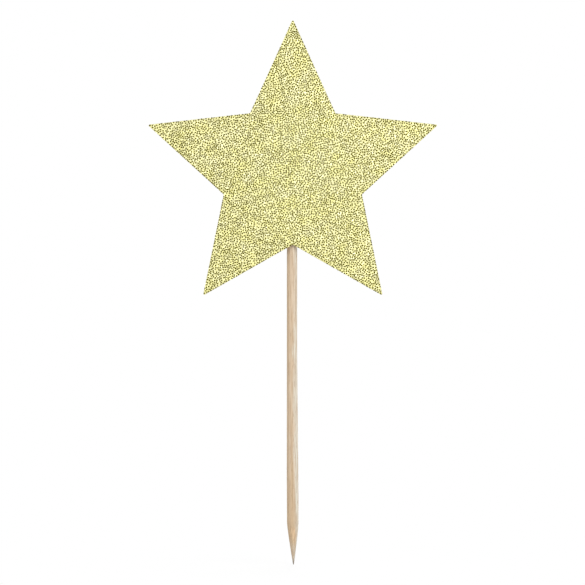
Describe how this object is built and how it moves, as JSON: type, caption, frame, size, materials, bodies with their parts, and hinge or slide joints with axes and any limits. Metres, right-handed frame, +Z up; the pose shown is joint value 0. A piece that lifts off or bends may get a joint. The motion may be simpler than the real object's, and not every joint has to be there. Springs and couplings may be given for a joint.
{
  "type": "cupcake topper",
  "caption": "Gold glitter star die-cut from card and glued to the front of a pointed round wooden pick, for standing in a cupcake.",
  "frame": {"origin": "the tip of the wooden pick, on the pick's axis", "axes": "+Z up along the pick to the star's top point, +Y through the star from its glitter face to its back, +X to the right of someone facing the glitter"},
  "size_m": [0.0608, 0.0031, 0.1148],
  "materials": {
    "birch": "turned and tumbled, unvarnished",
    "white_card": "uncoated, matt",
    "gold_glitter": "foil flakes in clear binder",
    "hot_melt": "set hot-melt glue, satin"
  },
  "bodies": {
    "root": {"wooden_pick": "birch", "star_card": "white_card", "glitter_coat": "gold_glitter", "glue_bead": "hot_melt"}
  },
  "joints": []
}
